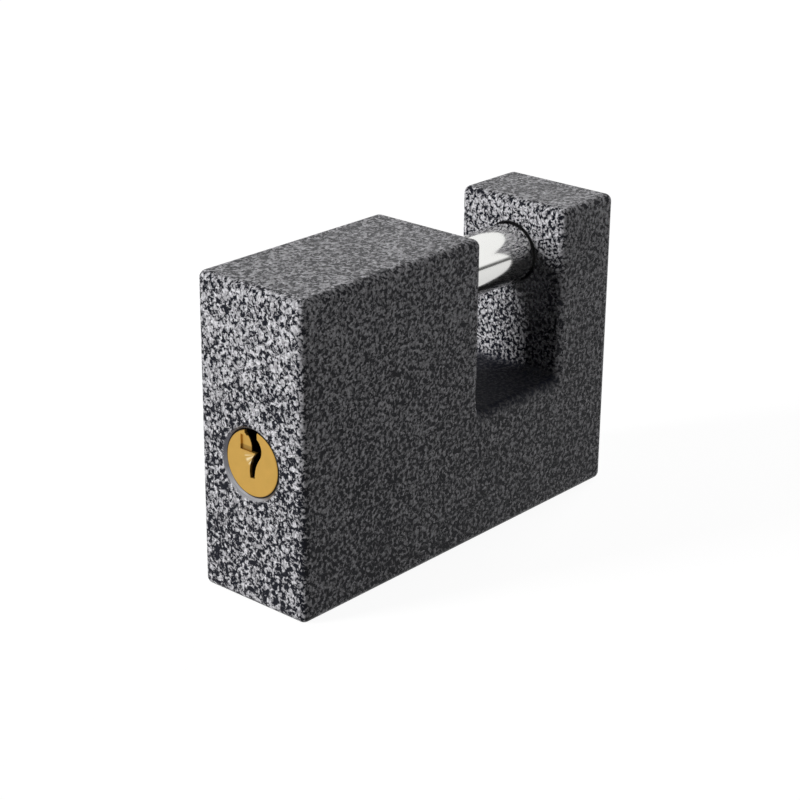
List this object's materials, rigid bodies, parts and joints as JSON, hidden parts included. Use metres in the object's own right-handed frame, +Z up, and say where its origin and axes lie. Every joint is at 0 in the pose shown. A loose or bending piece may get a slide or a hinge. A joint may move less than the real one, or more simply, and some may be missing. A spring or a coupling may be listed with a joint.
{
  "type": "shutter padlock",
  "caption": "Rectangular cast padlock with a slot for a shutter lug, closed by a sliding round bolt that a key in the end face locks.",
  "frame": {"origin": "middle of the underside", "axes": "+X along the block from the keyhole end to the ear, +Y to the back, +Z up"},
  "size_m": [0.09, 0.026, 0.062],
  "materials": {
    "silver_vein_coat": "dark hammered enamel with fine silver veins",
    "chrome": "polished chrome plate",
    "brass": "turned and brushed brass",
    "steel": "machined steel",
    "spring_steel": "drawn spring wire"
  },
  "bodies": {
    "casting": {"body_casting": "silver_vein_coat", "chamber_plugs": "brass", "plug_retaining_pin": "steel", "bolt_retaining_pin": "steel", "locking_bore_plug": "steel", "locking_pin_spring": "spring_steel", "kick_spring": "spring_steel", "driver_spring_1": "spring_steel", "driver_spring_2": "spring_steel", "driver_spring_3": "spring_steel", "driver_spring_4": "spring_steel", "driver_spring_5": "spring_steel"},
    "plug": {"key_plug": "brass", "tail_cam": "steel", "cam_screw": "steel"},
    "bolt": {"bolt": "chrome"},
    "lock_pin": {"locking_pin": "steel"},
    "key_pin_1": {"key_pin_1": "brass"},
    "driver_pin_1": {"driver_pin_1": "brass"},
    "key_pin_2": {"key_pin_2": "brass"},
    "driver_pin_2": {"driver_pin_2": "brass"},
    "key_pin_3": {"key_pin_3": "brass"},
    "driver_pin_3": {"driver_pin_3": "brass"},
    "key_pin_4": {"key_pin_4": "brass"},
    "driver_pin_4": {"driver_pin_4": "brass"},
    "key_pin_5": {"key_pin_5": "brass"},
    "driver_pin_5": {"driver_pin_5": "brass"}
  },
  "joints": [
    {"name": "plug_turn", "type": "hinge", "parent": "casting", "child": "plug", "pos_m": [-0.03, 0, 0.0282], "axis": [1, 0, 0], "range_deg": [0, 90]},
    {"name": "lock_pin_lift", "type": "slide", "parent": "casting", "child": "lock_pin", "axis": [0, 0, 1], "range_m": [0, 0.0028], "deforming": ["locking_pin_spring"]},
    {"name": "bolt_slide", "type": "slide", "parent": "casting", "child": "bolt", "axis": [1, 0, 0], "range_m": [0, 0.0495]},
    {"name": "key_pin_1_slide", "type": "slide", "parent": "plug", "child": "key_pin_1", "axis": [0, 0, 1], "range_m": [0, 0.0016]},
    {"name": "driver_pin_1_slide", "type": "slide", "parent": "casting", "child": "driver_pin_1", "axis": [0, 0, -1], "range_m": [0, 0.0016], "stiffness_N_per_m": 300, "springref_m": -0.002, "deforming": ["driver_spring_1"]},
    {"name": "key_pin_2_slide", "type": "slide", "parent": "plug", "child": "key_pin_2", "axis": [0, 0, 1], "range_m": [0, 0.0016]},
    {"name": "driver_pin_2_slide", "type": "slide", "parent": "casting", "child": "driver_pin_2", "axis": [0, 0, -1], "range_m": [0, 0.0016], "stiffness_N_per_m": 300, "springref_m": -0.002, "deforming": ["driver_spring_2"]},
    {"name": "key_pin_3_slide", "type": "slide", "parent": "plug", "child": "key_pin_3", "axis": [0, 0, 1], "range_m": [0, 0.0016]},
    {"name": "driver_pin_3_slide", "type": "slide", "parent": "casting", "child": "driver_pin_3", "axis": [0, 0, -1], "range_m": [0, 0.0016], "stiffness_N_per_m": 300, "springref_m": -0.002, "deforming": ["driver_spring_3"]},
    {"name": "key_pin_4_slide", "type": "slide", "parent": "plug", "child": "key_pin_4", "axis": [0, 0, 1], "range_m": [0, 0.0016]},
    {"name": "driver_pin_4_slide", "type": "slide", "parent": "casting", "child": "driver_pin_4", "axis": [0, 0, -1], "range_m": [0, 0.0016], "stiffness_N_per_m": 300, "springref_m": -0.002, "deforming": ["driver_spring_4"]},
    {"name": "key_pin_5_slide", "type": "slide", "parent": "plug", "child": "key_pin_5", "axis": [0, 0, 1], "range_m": [0, 0.0016]},
    {"name": "driver_pin_5_slide", "type": "slide", "parent": "casting", "child": "driver_pin_5", "axis": [0, 0, -1], "range_m": [0, 0.0016], "stiffness_N_per_m": 300, "springref_m": -0.002, "deforming": ["driver_spring_5"]}
  ],
  "couplings": [
    {"joint": "lock_pin_lift", "follows": "plug_turn", "m_per_rad": 0.0017825}
  ]
}
